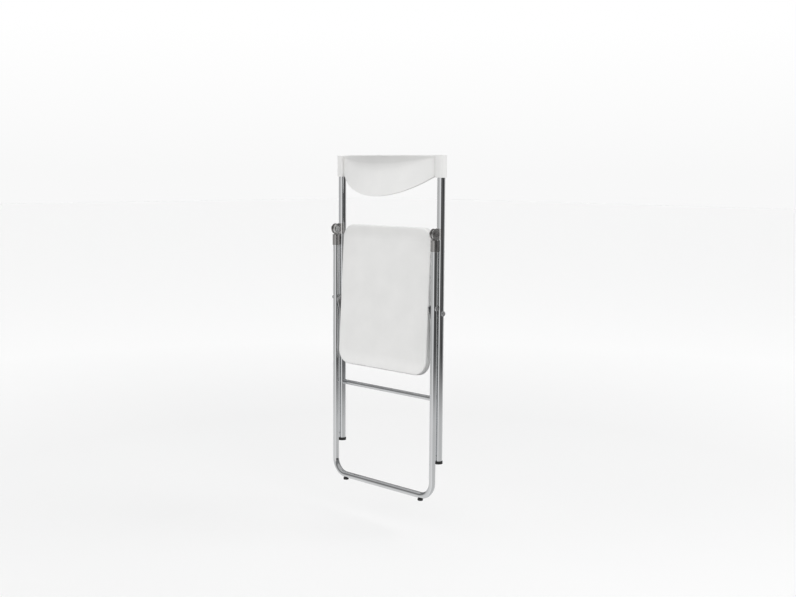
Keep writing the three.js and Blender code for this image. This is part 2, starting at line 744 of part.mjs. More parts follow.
/** A place of the chair, given as depth and level, in the seat's own frame. */
function inSeat(y, z) {
  const dy = y - seatFrontDepth;
  const dz = z - seatFrontLevel;
  const cos = Math.cos(seatTilt);
  const sin = Math.sin(seatTilt);
  return { y: dy * cos - dz * sin, z: dy * sin + dz * cos };
}

/** The seat's outline, drawn in by an inset, as points in x and z. */
function seatOutline(inset) {
  const radius = SEAT.cornerRadius - inset;
  const x = SEAT.width / 2 - SEAT.cornerRadius;
  const centre = -SEAT.length / 2;
  const reach = SEAT.length / 2 - SEAT.cornerRadius;
  const corners = [
    [x, centre - reach],
    [x, centre + reach],
    [-x, centre + reach],
    [-x, centre - reach],
  ];
  const points = [];
  corners.forEach(([cornerX, cornerZ], corner) => {
    for (let step = 0; step <= SEAT_CORNER_STEPS; step += 1) {
      const angle = (Math.PI / 2) * (corner - 1 + step / SEAT_CORNER_STEPS);
      points.push([cornerX + radius * Math.cos(angle), cornerZ + radius * Math.sin(angle)]);
    }
  });
  return points;
}

/** The seat's rings from the middle of the sitting surface, round the skirt, to the underside. */
function seatRings() {
  const round = SEAT.edgeRound;
  const rings = DISH_SHARES.map(([insetShare, dishShare]) => [
    SEAT.cornerRadius * insetShare,
    SEAT.dish * dishShare,
  ]);
  for (let step = 0; step <= SEAT_ROUND_STEPS; step += 1) {
    const angle = (Math.PI / 2) * (step / SEAT_ROUND_STEPS);
    rings.push([round * (1 - Math.sin(angle)), round * (1 - Math.cos(angle))]);
  }
  rings.push([0, SEAT.skirt], [SEAT.wall, SEAT.skirt], [SEAT.wall, SEAT.ceiling + SEAT.dish]);
  return rings;
}

/** The moulded seat: a shallow dish with a skirt all round, open below. */
function seatShell() {
  const rings = seatRings();
  const outlines = rings.map(([inset, depth]) => ({ points: seatOutline(inset), depth }));
  const count = outlines[0].points.length;
  const positions = [];
  const index = [];
  for (const { points, depth } of outlines) {
    for (const [x, z] of points) positions.push(x, depth, z);
  }
  const middle = -SEAT.length / 2;
  const topCentre = positions.length / 3;
  positions.push(0, SEAT.dish, middle);
  const lowCentre = topCentre + 1;
  positions.push(0, SEAT.ceiling + SEAT.dish, middle);
  for (let side = 0; side < count; side += 1) {
    const next = (side + 1) % count;
    for (let ring = 0; ring < rings.length - 1; ring += 1) {
      const a = ring * count;
      const b = a + count;
      index.push(a + side, b + side, b + next, a + side, b + next, a + next);
    }
    const lastRing = (rings.length - 1) * count;
    index.push(topCentre, side, next);
    index.push(lowCentre, lastRing + next, lastRing + side);
  }
  const geometry = new THREE.BufferGeometry();
  geometry.setAttribute('position', new THREE.Float32BufferAttribute(positions, 3));
  geometry.setIndex(index);
  let shell = solid(geometry);
  const ceilingFace = SEAT.ceiling + SEAT.dish;
  const holeEnd = ceilingFace - SEAT_SCREW.bite - GAP;
  for (const { x, z } of screwPlaces()) {
    shell = cut(shell, rodAlongY(SEAT_SCREW.radius + GAP, holeEnd, ceilingFace + OVERRUN, x, z));
  }
  place(seatGroup, 'seat_shell', shell, whitePlastic);
}

/** Where the four screws of the cross bars stand, in the seat's own frame. */
function screwPlaces() {
  const x = railInner - SEAT_SCREW.inset;
  return [
    { x: -x, z: -CROSS_BAR.frontPlace, label: 'front_left' },
    { x, z: -CROSS_BAR.frontPlace, label: 'front_right' },
    { x: -x, z: -rearBarPlace, label: 'rear_left' },
    { x, z: -rearBarPlace, label: 'rear_right' },
  ];
}

/** The steel plate under each side of the seat, deep where the bolt and the rear pin pass. */
function seatRails() {
  const top = SEAT.ceiling + SEAT.dish + GAP;
  const shallow = top + RAIL.shallow;
  const pivot = inSeat(0, seatPivotLevel);
  const pin = inSeat(0, rearPinLevel);
  const ear = RAIL.earRadius;
  // the outline is drawn with the depth along x and the length along y
  const outline = new THREE.Shape();
  outline.moveTo(top, -RAIL.frontStart);
  outline.lineTo(top, -railRearEnd);
  outline.lineTo(shallow, -railRearEnd);
  outline.lineTo(pin.y, pin.z - ear);
  outline.absarc(pin.y, pin.z, ear, -Math.PI / 2, 0, false);
  outline.lineTo(pivot.y + ear, pivot.z);
  outline.absarc(pivot.y, pivot.z, ear, 0, Math.PI / 2, false);
  outline.lineTo(shallow, pivot.z + RAIL.rise);
  outline.lineTo(shallow, -RAIL.frontStart);
  onBothSides((side, label) => {
    const plate = new THREE.ExtrudeGeometry(outline, {
      depth: RAIL.thickness,
      bevelEnabled: false,
      curveSegments: EAR_STEPS,
    });
    // turn the outline's x to the depth and its thickness to x
    const turn = new THREE.Matrix4().makeBasis(
      new THREE.Vector3(0, 1, 0),
      new THREE.Vector3(0, 0, 1),
      new THREE.Vector3(1, 0, 0),
    );
    plate.applyMatrix4(turn);
    plate.translate(side > 0 ? railInner : -railOuter, 0, 0);
    const hole = rodAlongX(SEAT_PIVOT.boltRadius + GAP, -SEAT.width, SEAT.width, pivot.y, pivot.z);
    place(seatGroup, `seat_rail_${label}`, cut(solid(plate), hole), zincSteel);
    const pinNear = side * (railOuter + GAP);
    const pinFar = side * (SEAT.width / 2 - GAP);
    const rearPin = rodAlongX(REAR_PIN.radius, pinNear, pinFar, pin.y, pin.z);
    place(seatGroup, `seat_rear_pin_${label}`, rearPin, zincSteel);
  });
}

/** The flat bars that tie the rails together and carry the seat, drilled for their screws. */
function crossBars() {
  const top = SEAT.ceiling + SEAT.dish + GAP;
  const reach = railInner - GAP;
  const halfWidth = CROSS_BAR.width / 2;
  for (const [label, middle] of [['front', -CROSS_BAR.frontPlace], ['rear', -rearBarPlace]]) {
    let bar = block([-reach, top, middle - halfWidth], [reach, top + CROSS_BAR.depth, middle + halfWidth]);
    for (const { x, z } of screwPlaces()) {
      bar = cut(bar, rodAlongY(SEAT_SCREW.radius + GAP, 0, SEAT.width, x, z));
    }
    place(seatGroup, `seat_cross_bar_${label}`, bar, zincSteel);
  }
}

/** The screws up through the cross bars into the seat. */
function seatScrews() {
  const barTop = SEAT.ceiling + SEAT.dish + GAP;
  const barLow = barTop + CROSS_BAR.depth + GAP;
  const headEnd = barLow + SEAT_SCREW.headThickness;
  const tip = barTop - GAP - SEAT_SCREW.bite;
  for (const { x, z, label } of screwPlaces()) {
    const screw = joined(
      rodAlongY(SEAT_SCREW.radius, tip, (barLow + headEnd) / 2, x, z),
      rodAlongY(SEAT_SCREW.headRadius, barLow, headEnd, x, z),
    );
    place(seatGroup, `seat_screw_${label}`, screw, zincSteel);
  }
}

backrest();
backScrews();
uprights();
frontBrace();
frontFeet();
hingeBrackets();
hingeBolts();
hingeKnuckles();
rearLegFrame();
rearGlides();
legRivets();
foldLinks();
linkPins();
seatBolts();
seatShell();
seatRails();
crossBars();
seatScrews();

export default model;
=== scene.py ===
"""A folding chair on chromed tube legs, hung folded by its white plastic backrest.

Metres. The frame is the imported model's own: +Z up, +Y the way a sitter faces, +X the sitter's
right, with the origin midway between the uprights at the level of the sleeves' undersides.
"""

from __future__ import annotations

import logging
import math
from collections.abc import Callable, Sequence
from dataclasses import dataclass
from enum import Enum

import bmesh
import bpy
from mathutils import Matrix, Vector

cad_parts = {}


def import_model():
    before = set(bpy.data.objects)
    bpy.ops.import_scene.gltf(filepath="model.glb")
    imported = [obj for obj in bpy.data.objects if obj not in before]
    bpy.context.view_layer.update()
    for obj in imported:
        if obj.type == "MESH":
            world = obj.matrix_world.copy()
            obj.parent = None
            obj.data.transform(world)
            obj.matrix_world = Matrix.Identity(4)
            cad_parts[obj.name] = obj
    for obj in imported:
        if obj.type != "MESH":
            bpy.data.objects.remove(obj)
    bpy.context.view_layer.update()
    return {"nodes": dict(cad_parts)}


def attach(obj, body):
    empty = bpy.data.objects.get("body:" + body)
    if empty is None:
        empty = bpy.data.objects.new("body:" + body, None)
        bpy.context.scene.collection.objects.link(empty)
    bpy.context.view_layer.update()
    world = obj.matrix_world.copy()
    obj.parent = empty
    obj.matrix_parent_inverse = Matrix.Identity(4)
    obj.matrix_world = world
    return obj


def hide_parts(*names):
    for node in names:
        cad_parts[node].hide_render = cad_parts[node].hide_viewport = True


log = logging.getLogger("folding_chair")

Point = tuple[float, float, float]
Colour = tuple[float, float, float, float]
Range = tuple[float, float]
EdgeTest = Callable[[Vector, Vector], bool]
Piece = bpy.types.Object
Socket = bpy.types.NodeSocket

UP: Point = (0.0, 0.0, 1.0)
DOWN: Point = (0.0, 0.0, -1.0)

# How many sides a round piece has
SIDES = 48
FINE_SIDES = 64
FINEST_SIDES = 96

# How well a normal follows a direction before its face counts as looking that way
FACING = 0.9
FLAT_FACING = 0.999

# How close two points are when they merge, in a plain mesh and in one that was cut
MERGE_DISTANCE = 1e-6
CUT_MERGE_DISTANCE = 1e-5

# How sharp an edge is before it is rounded, on a plain piece and on one that was cut
SOFT_ANGLE = math.radians(35)
CUT_ANGLE = math.radians(40)

# The part of a noise's range that shows
NOISE_ENDS: Range = (0.3, 0.7)


class Side(Enum):
    """The two sides of the chair, as the sign of X."""

    LEFT = -1
    RIGHT = 1

    @property
    def label(self) -> str:
        """The side's name as it ends a node's name."""
        return self.name.lower()


class Axis(Enum):
    """The axis that a round piece is turned on."""

    X = (0.0, math.pi / 2, 0.0)
    Y = (math.pi / 2, 0.0, 0.0)
    Z = (0.0, 0.0, 0.0)


# Modelling by hand


def deselect() -> None:
    """Leaves nothing selected, in object mode."""
    if bpy.context.object and bpy.context.object.mode != "OBJECT":
        bpy.ops.object.mode_set(mode="OBJECT")
    bpy.ops.object.select_all(action="DESELECT")


def take(piece: Piece) -> None:
    """Makes a piece the only one selected, and the active one.

    Args:
        piece: the piece to work on.
    """
    deselect()
    piece.select_set(True)
    bpy.context.view_layer.objects.active = piece


def named(name: str) -> Piece:
    """Names the piece that was just added, and its mesh.

    Args:
        name: the piece's name.

    Returns:
        The piece.
    """
    piece = bpy.context.object
    piece.name = name
    piece.data.name = name
    return piece


def settle(piece: Piece) -> None:
    """Puts a piece's place, turn and scale into its mesh.

    Args:
        piece: the piece to settle.
    """
    take(piece)
    bpy.ops.object.transform_apply(location=True, rotation=True, scale=True)


def rod(name: str, radius: float, ends: Range, across: Range, axis: Axis, sides: int = SIDES) -> Piece:
    """A round rod between two places on its axis.

    Args:
        name: the piece's name.
        radius: the rod's radius.
        ends: where it starts and ends along its axis.
        across: its place on the other two axes, in X, Y, Z order.
        axis: the axis it lies along.
        sides: how many sides it has.

    Returns:
        The rod, with its place in its mesh.
    """
    middle = (ends[0] + ends[1]) / 2
    places = {
        Axis.X: (middle, across[0], across[1]),
        Axis.Y: (across[0], middle, across[1]),
        Axis.Z: (across[0], across[1], middle),
    }
    deselect()
    length = abs(ends[1] - ends[0])
    bpy.ops.mesh.primitive_cylinder_add(
        vertices=sides, radius=radius, depth=length, location=places[axis], rotation=axis.value,
    )
    piece = named(name)
    settle(piece)
    return piece


def slab(name: str, low: Point, high: Point) -> Piece:
    """A block between two corners.

    Args:
        name: the piece's name.
        low: its lowest corner.
        high: its highest corner.

    Returns:
        The block, with its place in its mesh.
    """
    deselect()
    middle = [(a + b) / 2 for a, b in zip(low, high)]
    bpy.ops.mesh.primitive_cube_add(size=1, location=middle)
    piece = named(name)
    piece.scale = [b - a for a, b in zip(low, high)]
    settle(piece)
    return piece


def edit(piece: Piece) -> None:
    """Opens a piece in edit mode, on its edges, with nothing selected.

    Args:
        piece: the piece to open.
    """
    take(piece)
    bpy.ops.object.mode_set(mode="EDIT")
    bpy.ops.mesh.select_mode(type="EDGE")
    bpy.ops.mesh.select_all(action="DESELECT")


def close_edit() -> None:
    """Leaves edit mode."""
    bpy.ops.object.mode_set(mode="OBJECT")


def pick_faces(piece: Piece, *ways: Point, least: float = FACING) -> None:
    """Selects the faces of the piece in edit mode that look one of some ways.

    Args:
        piece: the piece in edit mode.
        *ways: the directions, each of length 1.
        least: how well a normal follows one of them, up to 1.
    """
    bpy.ops.mesh.select_mode(type="FACE")
    bpy.ops.mesh.select_all(action="DESELECT")
    mesh = bmesh.from_edit_mesh(piece.data)
    for face in mesh.faces:
        if any(face.normal.dot(Vector(way)) > least for way in ways):
            face.select_set(True)
    bmesh.update_edit_mesh(piece.data)


def pick_edges(piece: Piece, test: EdgeTest) -> None:
    """Selects the edges of the piece in edit mode that pass a test.

    Args:
        piece: the piece in edit mode.
        test: takes the two ends of an edge.
    """
    bpy.ops.mesh.select_mode(type="EDGE")
    bpy.ops.mesh.select_all(action="DESELECT")
    mesh = bmesh.from_edit_mesh(piece.data)
    for edge in mesh.edges:
        if test(edge.verts[0].co, edge.verts[1].co):
            edge.select_set(True)
    bmesh.update_edit_mesh(piece.data)


def inset(thickness: float) -> None:
    """Draws the outline of the selected faces inwards.

    Args:
        thickness: how far.
    """
    bpy.ops.mesh.inset(thickness=thickness)


def draw_out(way: Point) -> None:
    """Draws what is selected out along a way.

    Args:
        way: how far it goes along each axis.
    """
    bpy.ops.mesh.extrude_region_move(TRANSFORM_OT_translate={"value": way})


def round_edges(width: float, steps: int) -> None:
    """Rounds the selected edges.

    Args:
        width: how wide the rounding is.
        steps: how many faces it has.
    """
    bpy.ops.mesh.bevel(offset=width, segments=steps, affect="EDGES")


def modify(piece: Piece, kind: str, live: bool = False, **settings: object) -> None:
    """Adds a modifier with its settings, and applies it unless it stays live.

    Args:
        piece: the piece it shapes.
        kind: the modifier's type.
        live: whether it stays live.
        **settings: its values.
    """
    modifier = piece.modifiers.new(kind.title(), kind)
    for key, value in settings.items():
        setattr(modifier, key, value)
    if not live:
        take(piece)
        bpy.ops.object.modifier_apply(modifier=modifier.name)


def combine(piece: Piece, tool: Piece, operation: str) -> None:
    """Adds a tool to a piece or cuts it out of it, and removes the tool.

    Args:
        piece: the piece that stays.
        tool: the solid that acts on it.
        operation: UNION or DIFFERENCE.
    """
    modify(piece, "BOOLEAN", object=tool, operation=operation, solver="EXACT")
    bpy.data.objects.remove(tool, do_unlink=True)


def join(piece: Piece, other: Piece) -> None:
    """Puts another piece's mesh into a piece, as it is.

    Args:
        piece: the piece that stays.
        other: the piece that goes into it.
    """
    take(piece)
    other.select_set(True)
    bpy.ops.object.join()


def smooth(piece: Piece, angle: float = SOFT_ANGLE) -> None:
    """Shades a piece smooth except at its sharp edges, with its long faces left straight.

    Args:
        piece: the piece to shade.
        angle: how sharp an edge is before it stays crisp.
    """
    take(piece)
    bpy.ops.object.shade_smooth_by_angle(angle=angle)
    modify(piece, "WEIGHTED_NORMAL", keep_sharp=True)


def soften(piece: Piece, width: float, steps: int = 3, angle: float = SOFT_ANGLE) -> None:
    """Rounds a piece's sharp edges and shades it smooth.

    Args:
        piece: the piece to soften.
        width: how wide the rounding is.
        steps: how many faces it has.
        angle: how sharp an edge is before it is rounded.
    """
    modify(
        piece, "BEVEL", width=width, segments=steps, limit_method="ANGLE", angle_limit=angle,
        miter_outer="MITER_ARC",
    )
    smooth(piece, angle)


def clean(piece: Piece, distance: float = MERGE_DISTANCE) -> None:
    """Merges a piece's doubles and points its faces outwards.

    Args:
        piece: the piece to clean.
        distance: how close two points are when they merge.
    """
    edit(piece)
    bpy.ops.mesh.select_all(action="SELECT")
    bpy.ops.mesh.remove_doubles(threshold=distance)
    bpy.ops.mesh.normals_make_consistent(inside=False)
    close_edit()


def parts(count: int) -> list[float]:
    """The ends of a run's equal parts, as shares of the run.

    Args:
        count: how many parts it has.

    Returns:
        The shares, up to 1.
    """
    return [step / count for step in range(1, count + 1)]


def eased(share: float) -> float:
    """A share from 0 to 1 that starts and ends gently."""
    return share * share * (3 - 2 * share)


def slowed(share: float) -> float:
    """A share from 0 to 1 that starts briskly and ends gently."""
    return share * (2 - share)


# Finishes


def grey(tone: float) -> Colour:
    """A neutral colour of one tone."""
    return (tone, tone, tone, 1.0)


class Wiring:
    """A node tree, and the ways in which its nodes are wired."""

    def __init__(self, tree: bpy.types.NodeTree) -> None:
        """Starts on a tree.

        Args:
            tree: the tree to wire.
        """
        self.tree = tree

    def add(self, kind: str, **values: object) -> bpy.types.Node:
        """Adds a node and sets its properties.

        Args:
            kind: the node's type.
            **values: its properties.

        Returns:
            The node.
        """
        node = self.tree.nodes.new(kind)
        for key, value in values.items():
            setattr(node, key, value)
        return node

    def link(self, source: Socket, target: Socket) -> None:
        """Joins an output to an input.

        Args:
            source: the output.
            target: the input.
        """
        self.tree.links.new(source, target)

    def remap(self, value: Socket, source: Range, target: Range = (0.0, 1.0)) -> Socket:
        """Maps a value from one range to another.

        Args:
            value: the value to map.
            source: the range it comes from.
            target: the range it goes to.

        Returns:
            The mapped value.
        """
        node = self.add("ShaderNodeMapRange")
        for end, number in zip(("From Min", "From Max", "To Min", "To Max"), (*source, *target)):
            node.inputs[end].default_value = number
        self.link(value, node.inputs["Value"])
        return node.outputs["Result"]

    def ramp(self, value: Socket, stops: Sequence[tuple[float, Colour]]) -> Socket:
        """Colours a value by stops along it.

        Args:
            value: the value to colour.
            stops: pairs of a place from 0 to 1 and the colour there.

        Returns:
            The colour.
        """
        node = self.add("ShaderNodeValToRGB")
        elements = node.color_ramp.elements
        elements[0].position = stops[0][0]
        elements[1].position = stops[-1][0]
        for place, _ in stops[1:-1]:
            elements.new(place)
        for element, (_, colour) in zip(elements, stops):
            element.color = colour
        self.link(value, node.inputs["Fac"])
        return node.outputs["Color"]


class Surface(Wiring):
    """The nodes of a new material."""

    def __init__(self, name: str) -> None:
        """Starts a material with its shader.

        Args:
            name: the material's name.
        """
        self.material = bpy.data.materials.new(name)
        self.material.use_nodes = True
        super().__init__(self.material.node_tree)
        self.shader = self.tree.nodes["Principled BSDF"]
        self.place = self.add("ShaderNodeTexCoord").outputs["Object"]

    def scaled(self, scale: Point) -> Socket:
        """The piece's own coordinates, scaled along each axis.

        Args:
            scale: the three scales.

        Returns:
            The scaled coordinates.
        """
        mapping = self.add("ShaderNodeMapping")
        mapping.inputs["Scale"].default_value = scale
        self.link(self.place, mapping.inputs["Vector"])
        return mapping.outputs["Vector"]

    def noise(self, scale: float, detail: float, stretch: Point) -> Socket:
        """A noise on the piece's own coordinates.

        Args:
            scale: how fine it is, in turns a metre.
            detail: how many layers it has.
            stretch: how it is drawn out along each axis.

        Returns:
            The noise's value.
        """
        texture = self.add("ShaderNodeTexNoise")
        texture.inputs["Scale"].default_value = scale
        texture.inputs["Detail"].default_value = detail
        self.link(self.scaled(stretch), texture.inputs["Vector"])
        return texture.outputs["Fac"]

    def fade(self, reach: float) -> Socket:
        """A value that falls from 1 at the piece's origin to 0 some way off.

        Args:
            reach: how far it goes, in metres.

        Returns:
            The value.
        """
        ball = self.add("ShaderNodeTexGradient", gradient_type="SPHERICAL")
        self.link(self.scaled((1 / reach, 1 / reach, 1 / reach)), ball.inputs["Vector"])
        return ball.outputs["Fac"]

    def tint(self, value: Socket, dark: Colour, light: Colour) -> None:
        """Colours the shader between two colours.

        Args:
            value: what blends them.
            dark: the colour at its low end.
            light: the colour at its high end.
        """
        colour = self.ramp(value, tuple(zip(NOISE_ENDS, (dark, light))))
        self.link(colour, self.shader.inputs["Base Color"])

    def bump(self, value: Socket, strength: float, height: float) -> None:
        """Raises the surface by a value.

        Args:
            value: the height map.
            strength: how much it shows.
            height: how tall it is, in metres.
        """
        node = self.add("ShaderNodeBump")
        node.inputs["Strength"].default_value = strength
        node.inputs["Distance"].default_value = height
        self.link(value, node.inputs["Height"])
        self.link(node.outputs["Normal"], self.shader.inputs["Normal"])


@dataclass(frozen=True)
class Finish:
    """A surface finish: its record slot, colours, roughness and grain."""

    name: str
    slot: str
    dark: Colour
    light: Colour
    metal: float
    roughness: Range
    grain: float
    relief: float
    strength: float
    stretch: Point = (1.0, 1.0, 1.0)
    grain_detail: float = 2.0
    tint_scale: float = 14.0
    tint_detail: float = 4.0
    wear_scale: float = 55.0
    wear_detail: float = 5.0

    def material(self) -> bpy.types.Material:
        """The finish's material, made once."""
        made = bpy.data.materials.get(self.name)
        if made:
            return made
        surface = Surface(self.name)
        surface.shader.inputs["Metallic"].default_value = self.metal
        surface.tint(surface.noise(self.tint_scale, self.tint_detail, self.stretch), self.dark, self.light)
        wear = surface.noise(self.wear_scale, self.wear_detail, self.stretch)
        surface.link(surface.remap(wear, NOISE_ENDS, self.roughness), surface.shader.inputs["Roughness"])
        grain = surface.noise(self.grain, self.grain_detail, self.stretch)
        surface.bump(grain, self.strength, self.relief)
        return surface.material


CHROME = Finish(
    "chromed_tube", "chrome_tube", dark=(0.72, 0.73, 0.74, 1), light=(0.8, 0.81, 0.82, 1), metal=1.0,
    roughness=(0.04, 0.09), grain=160.0, relief=0.00005, strength=0.12, stretch=(1.0, 1.0, 0.25),
)
WHITE = Finish(
    "white_moulding", "white_plastic", dark=(0.83, 0.83, 0.82, 1), light=(0.87, 0.868, 0.858, 1), metal=0.0,
    roughness=(0.3, 0.42), grain=1800.0, relief=0.00006, strength=0.18,
)
CAST = Finish(
    "bright_casting", "cast_metal", dark=(0.58, 0.57, 0.565, 1), light=(0.68, 0.67, 0.665, 1), metal=1.0,
    roughness=(0.1, 0.18), grain=1500.0, relief=0.00006, strength=0.2,
)
# A darker copy of the same cast metal: painted shade for the knuckle sockets and for the cap nuts that sit
# in the cheeks' recesses.
CAST_PAINTED_SHADE = Finish(
    "casting_painted_shade", "cast_metal", dark=(0.36, 0.35, 0.345, 1), light=(0.46, 0.45, 0.445, 1), metal=1.0,
    roughness=(0.14, 0.24), grain=1500.0, relief=0.00006, strength=0.2,
)
RUBBER = Finish(
    "black_tip", "black_rubber", dark=(0.012, 0.012, 0.012, 1), light=(0.03, 0.03, 0.03, 1), metal=0.0,
    roughness=(0.5, 0.75), grain=900.0, relief=0.0001, strength=0.4,
)
ZINC = Finish(
    "bright_zinc", "zinc_steel", dark=(0.5, 0.5, 0.5, 1), light=(0.66, 0.67, 0.68, 1), metal=1.0,
    roughness=(0.18, 0.34), grain=700.0, relief=0.00005, strength=0.25,
)
STEEL = Finish(
    "bright_steel", "zinc_steel", dark=(0.74, 0.74, 0.75, 1), light=(0.86, 0.86, 0.87, 1), metal=1.0,
    roughness=(0.12, 0.24), grain=900.0, relief=0.00004, strength=0.2,
)
NYLON = Finish(
    "dark_nylon", "dark_nylon", dark=(0.03, 0.03, 0.032, 1), light=(0.06, 0.06, 0.065, 1), metal=0.0,
    roughness=(0.35, 0.5), grain=1200.0, relief=0.00006, strength=0.3,
)


def dress(piece: Piece, finish: Finish, body: str, *replaced: str) -> None:
    """Gives a finished piece its material, its body and the nodes it stands for.

    Args:
        piece: the finished piece.
        finish: its surface.
        body: the CAD body it moves with.
        *replaced: the CAD nodes it stands for.
    """
    piece.data.materials.clear()
    piece.data.materials.append(finish.material())
    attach(piece, body)
    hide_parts(*replaced)
    log.info("piece %s rides on %s and stands for %s", piece.name, body, ", ".join(replaced))


# Sizes that pieces share


@dataclass(frozen=True)
class Layout:
    """Where the chair's parts lie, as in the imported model."""

    half_spacing: float = 0.2
    upright_radius: float = 0.011
    hinge_level: float = -0.154
    rear_plane: float = -0.0245
    rear_radius: float = 0.009
    seat_bolt_level: float = -0.374
    sole_level: float = -0.799
    rear_sole_level: float = -0.91
    gap: float = 0.0003

    @property
    def bore_radius(self) -> float:
        """The radius of a bore that takes an upright."""
        return self.upright_radius + self.gap


LAYOUT = Layout()


# Backrest


@dataclass
class Backrest:
    """The moulded backrest: a bowed panel between two closed sleeves."""

    sleeve_width: float = 0.027
    sleeve_depth: float = 0.025
    sleeve_height: float = 0.062
    inner_corner: float = 0.004
    outer_corner: float = 0.0088
    corner_steps: int = 8
    top_wall: float = 0.004
    overrun: float = 0.01
    rear_start: float = 0.005
    bulge: float = 0.058
    thickness: float = 0.0055
    sag: float = 0.0605
    rise: float = 0.0068
    bite: float = 0.0011
    lip_height: float = 0.0025
    ledge: float = 0.0015
    step: float = 0.001
    lean: float = 0.019
    lean_depth: float = 0.0078
    ease: float = 0.020
    ease_depth: float = 0.0027
    front_share: float = 0.85
    end_share: float = 0.2
    return_power: float = 1.4
    columns: int = 96
    rim_rows: int = 4
    ledge_rows: int = 4
    lean_rows: int = 8
    ease_rows: int = 12
    lower_rows: int = 20
    edge: float = 0.0009

    def half_width(self) -> float:
        """Half the panel's width, a little way into the sleeves."""
        return LAYOUT.half_spacing - self.sleeve_width / 2 + self.bite

    def arc_drop(self, x: float, depth: float) -> float:
        """How far an arc of a given depth over the panel's width stands off its ends at x.

        Args:
            x: the place across the panel.
            depth: the arc's depth at the middle.

        Returns:
            The arc's distance from the line between its ends.
        """
        half = self.half_width()
        radius = (half * half + depth * depth) / (2 * depth)
        return math.sqrt(radius * radius - x * x) - (radius - depth)

    def section(self, share: float, height: float) -> list[Range]:
        """The panel's section at a place across it, from the top edge down.

        Args:
            share: the place across, from -1 to 1.
            height: how tall the panel is there.

        Returns:
            For each row, its drop below the top edge and the depth of the hollow there.
        """
        crown = 1 - share * share
        run = max(crown, self.end_share)
        start = self.lip_height + self.ledge
        lean_end = start + self.lean * run
        ease_end = lean_end + self.ease * run
        leant = crown * (self.step + self.lean_depth)
        deepest = leant + crown * self.ease_depth
        rows = [(0.0, 0.0)]
        for part in parts(self.rim_rows):
            rows.append((self.lip_height * part, 0.0))
        for part in parts(self.ledge_rows):
            rows.append((self.lip_height + self.ledge * part, self.step * crown * eased(part)))
        for part in parts(self.lean_rows):
            rows.append((start + self.lean * run * part, crown * (self.step + self.lean_depth * part)))
        for part in parts(self.ease_rows):
            rows.append((lean_end + self.ease * run * part, leant + crown * self.ease_depth * slowed(part)))
        for part in parts(self.lower_rows):
            rows.append((ease_end + (height - ease_end) * part, deepest * (1 - part ** self.return_power)))
        return rows

    def wall(self, name: str, ahead: float, share: float) -> Piece:
        """One bowed face of the panel, from a flat grid.

        Args:
            name: the face's name.
            ahead: how far it lies in front of the rear face.
            share: how much of the hollow it follows.

        Returns:
            The face.
        """
        deselect()
        last_row = self.rim_rows + self.ledge_rows + self.lean_rows + self.ease_rows + self.lower_rows
        bpy.ops.mesh.primitive_grid_add(
            x_subdivisions=self.columns, y_subdivisions=last_row, size=1, rotation=Axis.Y.value,
        )
        piece = named(name)
        settle(piece)
        for vertex in piece.data.vertices:
            across = 2 * vertex.co.x
            row = round((1 - 2 * vertex.co.z) / 2 * last_row)
            x = across * self.half_width()
            height = self.sleeve_height - self.rise + self.arc_drop(x, self.sag)
            drop, depth = self.section(across, height)[row]
            rear = -self.rear_start - self.arc_drop(x, self.bulge)
            vertex.co = (x, rear + ahead + share * depth, self.sleeve_height - drop)
        return piece

    def panel(self) -> Piece:
        """The bowed panel: its rear and front faces, bridged all round."""
        piece = self.wall("back_panel", 0.0, 1.0)
        join(piece, self.wall("front_face", self.thickness, self.front_share))
        edit(piece)
        bpy.ops.mesh.select_non_manifold()
        bpy.ops.mesh.bridge_edge_loops()
        close_edit()
        clean(piece)
        return piece

    def sleeve(self, side: Side) -> Piece:
        """One sleeve over the upright's top, a block with round upright edges.

        Args:
            side: which side it is on.

        Returns:
            The sleeve.
        """
        x = side.value * LAYOUT.half_spacing
        half_x = self.sleeve_width / 2
        half_y = self.sleeve_depth / 2
        top = self.sleeve_height
        piece = slab(f"sleeve_{side.label}", (x - half_x, -half_y, 0), (x + half_x, half_y, top))
        for outward, corner in ((1, self.outer_corner), (-1, self.inner_corner)):
            face = x + outward * side.value * half_x
            edit(piece)
            pick_edges(piece, lambda start, end, face=face: abs(start.x - face) < LAYOUT.gap
                       and abs(start.z - end.z) > top / 2)
            round_edges(corner, self.corner_steps)
            close_edit()
        return piece

    def build(self) -> None:
        """Builds and dresses the backrest, with an open bore in each sleeve."""
        shell = self.panel()
        for side in Side:
            combine(shell, self.sleeve(side), "UNION")
        ends = (-self.overrun, self.sleeve_height - self.top_wall)
        for side in Side:
            across = (side.value * LAYOUT.half_spacing, 0)
            combine(shell, rod("bore", LAYOUT.bore_radius, ends, across, Axis.Z, FINE_SIDES), "DIFFERENCE")
        clean(shell, CUT_MERGE_DISTANCE)
        soften(shell, self.edge, angle=CUT_ANGLE)
        shell.name = "backrest"
        dress(shell, WHITE, "frame", "back_shell")


# Uprights


